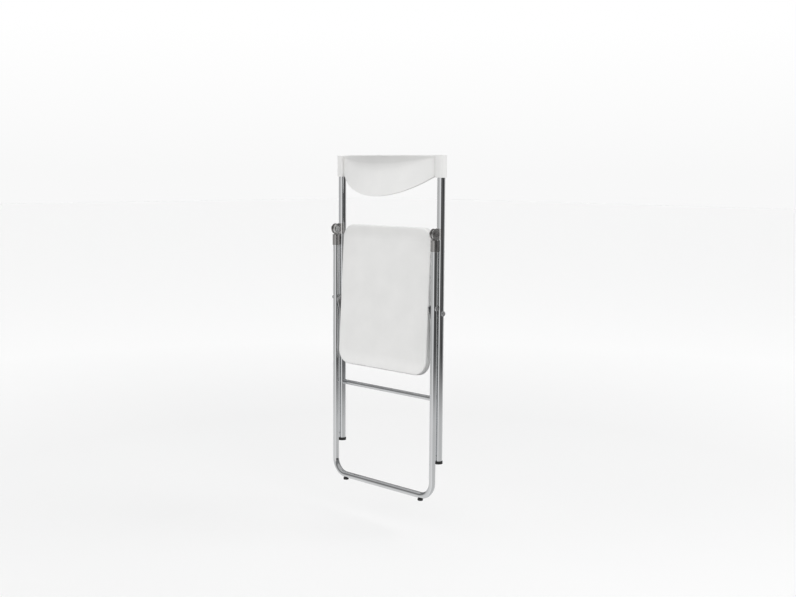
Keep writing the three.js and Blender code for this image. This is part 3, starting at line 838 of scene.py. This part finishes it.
@dataclass
class Uprights:
    """The two straight chromed tubes, the round brace between them and the front feet."""

    wall: float = 0.0015
    top: float = 0.0577
    foot_height: float = 0.008
    foot_radius: float = 0.0122
    foot_round: float = 0.0008
    tread_inset_share: float = 0.25
    stem: float = 0.026
    brace_level: float = -0.6175
    brace_radius: float = 0.007
    brace_bite_share: float = 1 / 3
    weld: float = 0.0016
    weld_length_share: float = 2.4
    weld_rise_share: float = 0.5
    weld_round_share: float = 0.45
    rim: float = 0.0004

    def tube(self, side: Side) -> None:
        """One upright, with its ends sunk so that they show the wall.

        Args:
            side: which side it is on.
        """
        ends = (LAYOUT.sole_level + self.foot_height + LAYOUT.gap, self.top)
        across = (side.value * LAYOUT.half_spacing, 0)
        piece = rod(f"upright_tube_{side.label}", LAYOUT.upright_radius, ends, across, Axis.Z, FINE_SIDES)
        edit(piece)
        for sign in (1, -1):
            pick_faces(piece, (0, 0, sign))
            inset(self.wall)
            draw_out((0, 0, -sign * self.stem))
        close_edit()
        soften(piece, self.rim, steps=2)
        dress(piece, CHROME, "frame", f"upright_{side.label}")

    def brace(self) -> None:
        """The brace, run into both tubes and ringed by its welds."""
        inner = LAYOUT.half_spacing - LAYOUT.upright_radius
        reach = inner + self.brace_radius * self.brace_bite_share
        across = (0, self.brace_level)
        piece = rod("front_brace_tube", self.brace_radius, (-reach, reach), across, Axis.X)
        edit(piece)
        pick_faces(piece, (1, 0, 0), (-1, 0, 0))
        inset(self.wall)
        close_edit()
        bead_radius = self.brace_radius + self.weld * self.weld_rise_share
        for side in Side:
            start = side.value * (inner + self.weld)
            end = start - side.value * self.weld_length_share * self.weld
            bead = rod("weld", bead_radius, (start, end), across, Axis.X)
            soften(bead, self.weld * self.weld_round_share, steps=4)
            join(piece, bead)
        soften(piece, self.rim, steps=2)
        dress(piece, CHROME, "frame", "front_brace")

    def foot(self, side: Side) -> None:
        """The soft tip in the upright's lower end.

        Args:
            side: which side it is on.
        """
        ends = (LAYOUT.sole_level, LAYOUT.sole_level + self.foot_height)
        across = (side.value * LAYOUT.half_spacing, 0)
        piece = rod(f"foot_tip_{side.label}", self.foot_radius, ends, across, Axis.Z, FINE_SIDES)
        edit(piece)
        pick_faces(piece, UP)
        inset(self.foot_radius - LAYOUT.upright_radius + self.wall + LAYOUT.gap)
        draw_out((0, 0, self.stem))
        pick_faces(piece, DOWN)
        inset(self.foot_radius * self.tread_inset_share)
        draw_out((0, 0, self.rim))
        close_edit()
        soften(piece, self.foot_round)
        dress(piece, RUBBER, "frame", f"foot_{side.label}")

    def build(self) -> None:
        """Builds and dresses the uprights, brace and feet."""
        for side in Side:
            self.tube(side)
            self.foot(side)
        self.brace()


# Rear legs


@dataclass
class RearLegs:
    """The rear leg frame, one bent chromed tube, with its glides."""

    bend: float = 0.045
    bend_steps: int = 20
    top: float = -0.176
    bar: float = -0.8947
    seam_angle: float = math.radians(30)
    glide_x: float = 0.155
    glide_radius: float = 0.008
    glide_height: float = 0.006
    glide_round: float = 0.0012
    tread_inset_share: float = 0.2
    stud_inset_share: float = 0.5
    stud_share: float = 0.5

    def frame(self) -> None:
        """The bent tube: a ring that is drawn down, turned twice and drawn up again."""
        deselect()
        start = (-LAYOUT.half_spacing, LAYOUT.rear_plane, self.top)
        bpy.ops.mesh.primitive_circle_add(vertices=SIDES, radius=LAYOUT.rear_radius, location=start)
        piece = named("rear_leg_tube")
        settle(piece)
        edit(piece)
        bpy.ops.mesh.select_all(action="SELECT")
        bend_level = self.bar + self.bend
        bend_x = LAYOUT.half_spacing - self.bend
        draw_out((0, 0, bend_level - self.top))
        self.turn(-bend_x, bend_level)
        draw_out((2 * bend_x, 0, 0))
        self.turn(bend_x, bend_level)
        draw_out((0, 0, self.top - bend_level))
        low = self.top - LAYOUT.gap
        for sign in (-1, 1):
            pick_edges(piece, lambda start, end, sign=sign: min(start.z, end.z) > low and start.x * sign > 0)
            bpy.ops.mesh.edge_face_add()
        close_edit()
        clean(piece)
        smooth(piece, self.seam_angle)
        dress(piece, CHROME, "rear_legs", "rear_leg_frame")

    def turn(self, x: float, level: float) -> None:
        """Turns the selected ring a quarter round the middle of a bend.

        Args:
            x: the middle's place across the chair.
            level: the middle's height.
        """
        centre = (x, LAYOUT.rear_plane, level)
        bpy.ops.mesh.spin(steps=self.bend_steps, angle=-math.pi / 2, center=centre, axis=(0, -1, 0))

    def glide(self, side: Side) -> None:
        """One soft button under the rear bar.

        Args:
            side: which side it is on.
        """
        ends = (LAYOUT.rear_sole_level, LAYOUT.rear_sole_level + self.glide_height)
        across = (side.value * self.glide_x, LAYOUT.rear_plane)
        piece = rod(f"rear_button_{side.label}", self.glide_radius, ends, across, Axis.Z)
        edit(piece)
        pick_faces(piece, DOWN)
        inset(self.glide_radius * self.tread_inset_share)
        pick_faces(piece, UP)
        inset(self.glide_radius * self.stud_inset_share)
        draw_out((0, 0, self.glide_height * self.stud_share))
        close_edit()
        soften(piece, self.glide_round, steps=4)
        dress(piece, RUBBER, "rear_legs", f"rear_glide_{side.label}")

    def build(self) -> None:
        """Builds and dresses the rear legs."""
        self.frame()
        for side in Side:
            self.glide(side)


# Hinges


@dataclass
class Hinge:
    """One hinge: the bracket on the upright, the knuckle on the rear leg, and their bolt."""

    side: Side
    bracket_wall: float = 0.0019
    bracket_half: float = 0.0155
    web_half: float = 0.014
    front_limit: float = 0.0045
    tongue_radius: float = 0.0118
    tongue_half: float = 0.0023
    side_gap: float = 0.0004
    cheek_radius: float = 0.0153
    cheek_width: float = 0.0032
    recess_radius: float = 0.0115
    recess_depth: float = 0.0012
    socket_radius: float = 0.011
    socket_top: float = 0.017
    socket_low: float = 0.048
    tube_top: float = 0.022
    neck_half: float = 0.008
    head_radius: float = 0.0085
    head_thickness: float = 0.0022
    cap_thickness: float = 0.003
    groove_share: float = 0.25
    ring_shares: Range = (0.2, 0.25)
    overrun: float = 0.002
    round_edge: float = 0.0011

    @property
    def x(self) -> float:
        """The middle of the hinge across the chair."""
        return self.side.value * LAYOUT.half_spacing

    @property
    def cheek_inner(self) -> float:
        """From the middle of the hinge to the inside of a cheek."""
        return self.tongue_half + self.side_gap

    @property
    def cheek_outer(self) -> float:
        """From the middle of the hinge to the outside of a cheek."""
        return self.cheek_inner + self.cheek_width

    def disc(self, name: str, radius: float, ends: Range) -> Piece:
        """A disc on the hinge's axis.

        Args:
            name: the disc's name.
            radius: its radius.
            ends: where its two faces are along X, in any order.

        Returns:
            The disc.
        """
        across = (LAYOUT.rear_plane, LAYOUT.hinge_level)
        return rod(name, radius, (min(ends), max(ends)), across, Axis.X, FINE_SIDES)

    def bracket(self) -> None:
        """The saddle behind the upright with its two cheeks, each with a raised rim."""
        level = LAYOUT.hinge_level
        outer = LAYOUT.bore_radius + self.bracket_wall
        half = self.bracket_half
        across = (self.x, 0)
        ends = (level - half, level + half)
        piece = rod(f"bracket_{self.side.label}", outer, ends, across, Axis.Z, FINEST_SIDES)
        recesses = []
        for cheek in (-1, 1):
            near = self.x + cheek * self.cheek_inner
            far = self.x + cheek * self.cheek_outer
            combine(piece, self.disc("cheek", self.cheek_radius, (near, far)), "UNION")
            low = (min(near, far), LAYOUT.rear_plane, level - self.web_half)
            high = (max(near, far), 0, level + self.web_half)
            combine(piece, slab("web", low, high), "UNION")
            floor = far - cheek * self.recess_depth
            recesses.append(self.disc("recess", self.recess_radius, (floor, far + cheek * self.overrun)))
        wide = 2 * outer
        bottom = level - 2 * half
        top = level + 2 * half
        bore = rod("bore", LAYOUT.bore_radius, (bottom, top), across, Axis.Z, FINEST_SIDES)
        slot_ends = (self.x - self.cheek_inner, self.x + self.cheek_inner)
        slot = self.disc("slot", self.tongue_radius + self.side_gap, slot_ends)
        low = (self.x - wide, -self.front_limit, bottom)
        high = (self.x + wide, wide, top)
        for tool in (bore, slot, slab("front", low, high), *recesses):
            combine(piece, tool, "DIFFERENCE")
        clean(piece, CUT_MERGE_DISTANCE)
        soften(piece, self.round_edge, angle=CUT_ANGLE)
        dress(piece, CAST, "frame", f"hinge_bracket_{self.side.label}")

    def knuckle(self) -> None:
        """The casting on the rear leg: a tongue, a neck and a socket."""
        level = LAYOUT.hinge_level
        rear = LAYOUT.rear_plane
        half = self.tongue_half
        across = (self.x, rear)
        top = level - self.socket_top
        piece = self.disc(f"knuckle_{self.side.label}", self.tongue_radius, (self.x - half, self.x + half))
        low = (self.x - half, rear - self.neck_half, top - LAYOUT.gap)
        high = (self.x + half, rear + self.neck_half, level)
        combine(piece, slab("neck", low, high), "UNION")
        foot = level - self.socket_low
        combine(piece, rod("socket", self.socket_radius, (foot, top), across, Axis.Z, FINE_SIDES), "UNION")
        ends = (foot - self.overrun, level - self.tube_top + LAYOUT.gap)
        combine(piece, rod("bore", LAYOUT.rear_radius + LAYOUT.gap, ends, across, Axis.Z), "DIFFERENCE")
        clean(piece, CUT_MERGE_DISTANCE)
        soften(piece, self.round_edge, angle=CUT_ANGLE)
        # The knuckle takes the darker copy of the cast metal, which paints its shade.
        dress(piece, CAST_PAINTED_SHADE, "rear_legs", f"hinge_knuckle_{self.side.label}")

    def button(self, name: str, way: int, thickness: float, finish: Finish, node: str) -> None:
        """A round head in a cheek's recess, with a turned groove and a sunk middle.

        Args:
            name: the piece's name.
            way: the side it faces, as the sign of X.
            thickness: how thick it is.
            finish: its surface.
            node: the node it stands for.
        """
        start = self.x + way * (self.cheek_outer - self.recess_depth + LAYOUT.gap)
        piece = self.disc(name, self.head_radius, (start, start + way * thickness))
        groove = thickness * self.groove_share
        edit(piece)
        pick_faces(piece, (way, 0, 0))
        for ring_share in self.ring_shares:
            inset(self.head_radius * ring_share)
            inset(groove)
            draw_out((-way * groove, 0, 0))
        close_edit()
        soften(piece, groove / 2)
        dress(piece, finish, "frame", node)

    def build(self) -> None:
        """Builds and dresses the hinge."""
        self.bracket()
        self.knuckle()
        sign = self.side.value
        label = self.side.label
        self.button(f"bolt_head_{label}", -sign, self.head_thickness, ZINC, f"hinge_bolt_{label}")
        # The cap nut takes the darker copy of the cast metal, which paints the shade of its recess.
        self.button(f"cap_nut_{label}", sign, self.cap_thickness, CAST_PAINTED_SHADE, f"hinge_cap_{label}")


# Seat


@dataclass
class Seat:
    """The moulded seat, drawn flat in its own frame and then leant into its folded place."""

    width: float = 0.357
    length: float = 0.414
    corner: float = 0.042
    corner_steps: int = 24
    skirt: float = 0.02
    ceiling: float = 0.008
    wall: float = 0.0035
    edge_round: float = 0.0035
    edge_steps: int = 8
    rim: float = 0.0008
    rim_angle: float = math.radians(50)
    rear_setback: float = 0.022
    pivot_depth: float = 0.0265
    pivot_place: float = 0.235
    dish_steps: tuple[Range, ...] = (
        (0.004, 0.0003), (0.005, 0.0007), (0.006, 0.0009), (0.006, 0.0009), (0.007, 0.0006), (0.007, 0.0003),
        (0.0015, 0.0),
    )

    def placing(self) -> Matrix:
        """The move from the seat's own frame, with its front edge at the origin, to the chair."""
        tilt = math.atan2(self.rear_setback, self.length)
        y = self.pivot_place * math.sin(tilt) - self.pivot_depth * math.cos(tilt)
        z = self.pivot_place * math.cos(tilt) + self.pivot_depth * math.sin(tilt)
        place = Matrix.Translation((0, y, LAYOUT.seat_bolt_level + z))
        return place @ Matrix.Rotation(-tilt, 4, "X")

    def build(self) -> None:
        """Builds and dresses the seat: a block with round corners, a soft edge, a dish and a hollow."""
        half = self.width / 2
        piece = slab("seat_moulding", (-half, 0, -self.length), (half, self.skirt, 0))
        edit(piece)
        pick_edges(piece, lambda start, end: abs(start.y - end.y) > self.skirt / 2)
        round_edges(self.corner, self.corner_steps)
        pick_faces(piece, (0, 1, 0))
        inset(self.wall)
        draw_out((0, self.ceiling - self.skirt, 0))
        pick_edges(piece, lambda start, end: max(start.y, end.y) < LAYOUT.gap)
        round_edges(self.edge_round, self.edge_steps)
        pick_faces(piece, (0, -1, 0), least=FLAT_FACING)
        for inward, drop in self.dish_steps:
            inset(inward)
            bpy.ops.transform.translate(value=(0, drop, 0))
        close_edit()
        modify(
            piece, "BEVEL", width=self.rim, segments=2, limit_method="ANGLE", angle_limit=self.rim_angle,
        )
        piece.matrix_world = self.placing() @ piece.matrix_world
        settle(piece)
        smooth(piece, CUT_ANGLE)
        dress(piece, WHITE, "seat", "seat_shell")


# Small steel and nylon pieces


@dataclass
class Hardware:
    """The nodes that still show: each gets its finish, fine edges and smooth sides."""

    edge: float = 0.0003
    flat_angle: float = math.radians(0.5)
    nylon: tuple[str, ...] = ("link_washer", "seat_spacer")
    pressed: tuple[str, ...] = ("seat_rail", "seat_cross_bar", "fold_link")

    def finish(self, name: str) -> Finish:
        """The finish of a node: nylon, pressed zinc-plated steel, or bright steel for what is turned.

        Args:
            name: the node's name.

        Returns:
            Its finish.
        """
        if name.startswith(self.nylon):
            return NYLON
        return ZINC if name.startswith(self.pressed) else STEEL

    def dress_node(self, node: Piece, finish: Finish) -> None:
        """Gives a node its material and rounds its edges.

        Args:
            node: the node's object.
            finish: its surface.
        """
        node.data.materials.clear()
        node.data.materials.append(finish.material())
        modify(node, "WELD", live=True, merge_threshold=MERGE_DISTANCE)
        modify(node, "DECIMATE", live=True, decimate_type="DISSOLVE", angle_limit=self.flat_angle)
        modify(
            node, "BEVEL", live=True, width=self.edge, segments=2, limit_method="ANGLE",
            angle_limit=CUT_ANGLE,
        )
        modify(node, "WEIGHTED_NORMAL", live=True, keep_sharp=True)
        for face in node.data.polygons:
            face.use_smooth = True
        log.info("node %s keeps its shape in %s", node.name, finish.name)

    def build(self, nodes: dict[str, Piece]) -> None:
        """Dresses every node that still shows.

        Args:
            nodes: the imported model's nodes by name.
        """
        for name, node in sorted(nodes.items()):
            if not node.hide_render:
                self.dress_node(node, self.finish(name))


# Studio


class Sky(Wiring):
    """The nodes of the world, which colour it by the direction that a ray looks in."""

    def __init__(self, tree: bpy.types.NodeTree) -> None:
        """Starts with the direction.

        Args:
            tree: the world's node tree.
        """
        super().__init__(tree)
        self.way = self.add("ShaderNodeSeparateXYZ")
        self.link(self.add("ShaderNodeTexCoord").outputs["Generated"], self.way.inputs["Vector"])

    def around(self, stops: Sequence[Range]) -> Socket:
        """Upright bands that change with the direction round the chair.

        Args:
            stops: pairs of a share of the way round and a tone.

        Returns:
            The band's colour.
        """
        turn = self.add("ShaderNodeMath", operation="ARCTAN2")
        self.link(self.way.outputs["Y"], turn.inputs[0])
        self.link(self.way.outputs["X"], turn.inputs[1])
        share = self.remap(turn.outputs[0], (-math.pi, math.pi))
        return self.ramp(share, [(place, grey(tone)) for place, tone in stops])

    def between(self, heights: Range, least: float = 0.0) -> Socket:
        """A blend that rises to 1 between two slopes of the direction.

        Args:
            heights: the Z of the direction where it starts and ends.
            least: what it starts from.

        Returns:
            The blend.
        """
        return self.remap(self.way.outputs["Z"], heights, (least, 1.0))

    def ray(self, kind: str) -> Socket:
        """Whether a ray is of a kind.

        Args:
            kind: the light path's output.

        Returns:
            1 for such a ray, or else 0.
        """
        return self.add("ShaderNodeLightPath").outputs[kind]

    def blend(self, share: Socket, low: Socket | Colour, high: Socket | Colour) -> Socket:
        """Blends two colours.

        Args:
            share: 0 for the first, 1 for the second.
            low: the first colour.
            high: the second colour.

        Returns:
            The blended colour.
        """
        mix = self.add("ShaderNodeMix", data_type="RGBA")
        self.link(share, mix.inputs["Factor"])
        colours = [socket for socket in mix.inputs if socket.type == "RGBA"]
        for socket, value in zip(colours, (low, high)):
            if isinstance(value, tuple):
                socket.default_value = value
            else:
                self.link(value, socket)
        return next(socket for socket in mix.outputs if socket.type == "RGBA")


@dataclass(frozen=True)
class Softbox:
    """A square soft light: its name, place, width and power in watts."""

    name: str
    place: Point
    size: float
    power: float


@dataclass
class Studio:
    """The pale floor, the soft lights and the camera."""

    azimuth: float = math.radians(44.7)
    elevation: float = math.radians(6.34)
    distance: float = 3.262
    target: Point = (0.0364, 0.0, -0.3458)
    roll: float = math.radians(0.39)
    lens: float = 51.42
    sensor: float = 36.0
    floor_level: float = -1.0
    floor_size: float = 60.0
    # The floor's colour is painted light: a darker tone near the chair, a whiter one far off where the lamps
    # no longer reach.
    floor_reach: float = 5.0
    floor_painted_shade_near: float = 0.88
    floor_painted_light_far: float = 0.99
    floor_roughness: float = 0.6
    floor_specular: float = 0.2
    daylight: float = 1.9
    bounce: float = 0.1
    bounce_blend: Range = (-0.2, 0.15)
    zenith: float = 0.4
    zenith_blend: Range = (0.36, 0.84)
    backdrop: float = 1.0
    backdrop_foot: float = 0.94
    backdrop_blend: Range = (0.0, 0.12)
    floor_tone: float = 0.8
    floor_blend: Range = (-0.215, -0.165)
    floor_least: float = 0.3
    horizon_tone: float = 0.2
    horizon_blend: Range = (0.02, 0.1)
    ceiling_tone: float = 0.5
    ceiling_blend: Range = (0.5, 0.65)
    bands: tuple[Range, ...] = (
        (0.0, 0.62), (0.08, 0.55), (0.126, 0.46), (0.17, 0.55), (0.25, 0.66), (0.3, 0.8), (0.35, 0.95),
        (0.375, 0.05), (0.43, 0.1), (0.48, 0.12), (0.54, 0.03), (0.59, 0.04), (0.64, 0.2), (0.7, 0.42),
        (0.8, 0.55), (0.874, 0.5), (0.93, 0.55), (1.0, 0.62),
    )
    softboxes: tuple[Softbox, ...] = (
        Softbox("key_light", place=(2.4, 2.2, 2.8), size=1.6, power=16.0),
        Softbox("fill_light", place=(-2.2, -3.4, 1.8), size=2.5, power=12.0),
        Softbox("side_light", place=(3.0, -0.8, 0.8), size=1.6, power=12.0),
    )

    def camera(self) -> None:
        """The camera, at the photograph's viewing angle."""
        flat = math.cos(self.elevation)
        x = math.sin(self.azimuth) * flat
        y = -math.cos(self.azimuth) * flat
        back = Vector((x, y, math.sin(self.elevation)))
        deselect()
        bpy.ops.object.camera_add(location=Vector(self.target) + back * self.distance)
        camera = bpy.context.object
        camera.name = "camera"
        turn = (-back).to_track_quat("-Z", "Y").to_matrix().to_4x4()
        camera.rotation_euler = (turn @ Matrix.Rotation(self.roll, 4, "Z")).to_euler()
        camera.data.lens = self.lens
        camera.data.sensor_width = self.sensor
        bpy.context.scene.camera = camera

    def light(self, softbox: Softbox) -> None:
        """Sets up a soft light that looks at the chair.

        Args:
            softbox: the light.
        """
        deselect()
        bpy.ops.object.light_add(type="AREA", location=softbox.place)
        light = bpy.context.object
        light.name = softbox.name
        light.data.size = softbox.size
        light.data.energy = softbox.power
        light.visible_glossy = False
        way = Vector(self.target) - Vector(softbox.place)
        light.rotation_euler = way.to_track_quat("-Z", "Y").to_euler()

    def floor(self) -> None:
        """The pale floor under the hanging chair, painted darker near the chair and lighter far off: painted
        light that makes up for the lamps' falloff and fades the floor into the backdrop.
        """
        deselect()
        bpy.ops.mesh.primitive_plane_add(size=self.floor_size, location=(0, 0, self.floor_level))
        floor = named("studio_floor")
        surface = Surface("pale_floor")
        surface.shader.inputs["Roughness"].default_value = self.floor_roughness
        surface.shader.inputs["Specular IOR Level"].default_value = self.floor_specular
        # Painted light and shade: the colour goes from the darker near tone to the whiter far tone with
        # distance from the floor's middle.
        surface.tint(surface.fade(self.floor_reach), grey(self.floor_painted_light_far), grey(self.floor_painted_shade_near))
        floor.data.materials.append(surface.material)
        floor.visible_glossy = False
        floor.visible_diffuse = False

    def surroundings(self) -> None:
        """A white studio: an even sky lights the chair, and screens show in the chrome."""
        world = bpy.data.worlds.new("studio")
        bpy.context.scene.world = world
        world.use_nodes = True
        sky = Sky(world.node_tree)
        screens = sky.around(self.bands)
        lower = sky.blend(sky.between(self.floor_blend, self.floor_least), grey(self.floor_tone), screens)
        upper = sky.blend(sky.between(self.horizon_blend), lower, grey(self.horizon_tone))
        mirrored = sky.blend(sky.between(self.ceiling_blend), upper, grey(self.ceiling_tone))
        sides = sky.blend(sky.between(self.bounce_blend), grey(self.bounce), grey(self.daylight))
        soft = sky.blend(sky.between(self.zenith_blend), sides, grey(self.zenith))
        lit = sky.blend(sky.ray("Is Glossy Ray"), soft, mirrored)
        backdrop = sky.blend(sky.between(self.backdrop_blend), grey(self.backdrop_foot), grey(self.backdrop))
        seen = sky.blend(sky.ray("Is Camera Ray"), lit, backdrop)
        sky.link(seen, world.node_tree.nodes["Background"].inputs["Color"])

    def build(self) -> None:
        """Sets up the whole studio."""
        bpy.context.scene.view_settings.view_transform = "Standard"
        self.camera()
        self.floor()
        self.surroundings()
        for softbox in self.softboxes:
            self.light(softbox)


def main() -> None:
    """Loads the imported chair, builds every piece on it and sets up the studio."""
    logging.basicConfig(level=logging.INFO, format="%(name)s: %(message)s")
    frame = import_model()
    Backrest().build()
    Uprights().build()
    RearLegs().build()
    for side in Side:
        Hinge(side).build()
    Seat().build()
    Hardware().build(frame["nodes"])
    Studio().build()
    bpy.context.view_layer.update()


if __name__ == "__main__":
    main()
